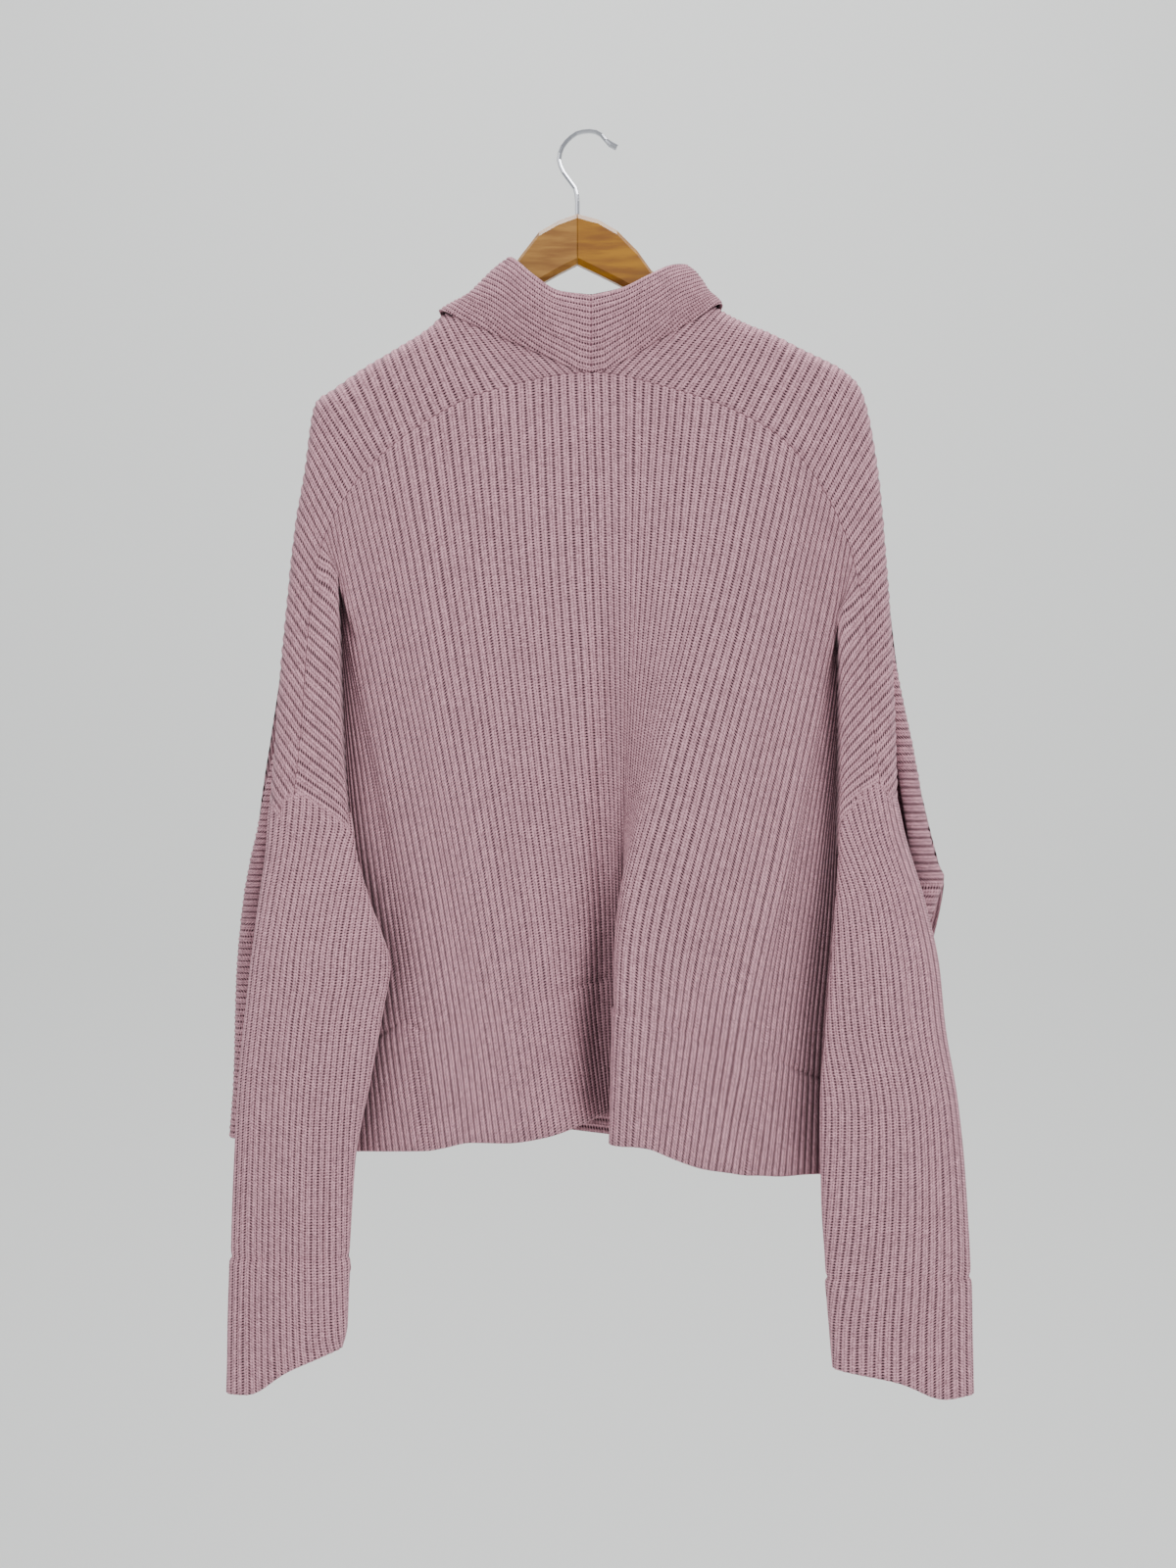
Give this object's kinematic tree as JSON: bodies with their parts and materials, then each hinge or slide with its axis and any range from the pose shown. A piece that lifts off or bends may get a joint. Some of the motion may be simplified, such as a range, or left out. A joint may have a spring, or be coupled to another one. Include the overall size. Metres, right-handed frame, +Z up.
{
  "type": "cropped rib-knit sweater on a wooden hanger",
  "caption": "Boxy pink rib-knit sweater with a crossover front, stand collar and dropped shoulders, hung on a wooden hanger with a steel hook.",
  "frame": {"origin": "inside the crown of the hanger's steel hook, where it hangs on a peg", "axes": "+Z up the hanging sweater, +X towards the wearer's right, -Y out of the sweater's back"},
  "size_m": [0.5427, 0.0859, 0.9225],
  "materials": {
    "knit": "matte",
    "wood": "satin",
    "steel": "polished"
  },
  "bodies": {
    "root": {"back": "knit", "front_left": "knit", "front_right": "knit", "collar_left": "knit", "collar_right": "knit", "sleeve_left": "knit", "sleeve_right": "knit", "hanger_arm_left": "wood", "hanger_arm_right": "wood", "hanger_hook": "steel"}
  },
  "joints": []
}
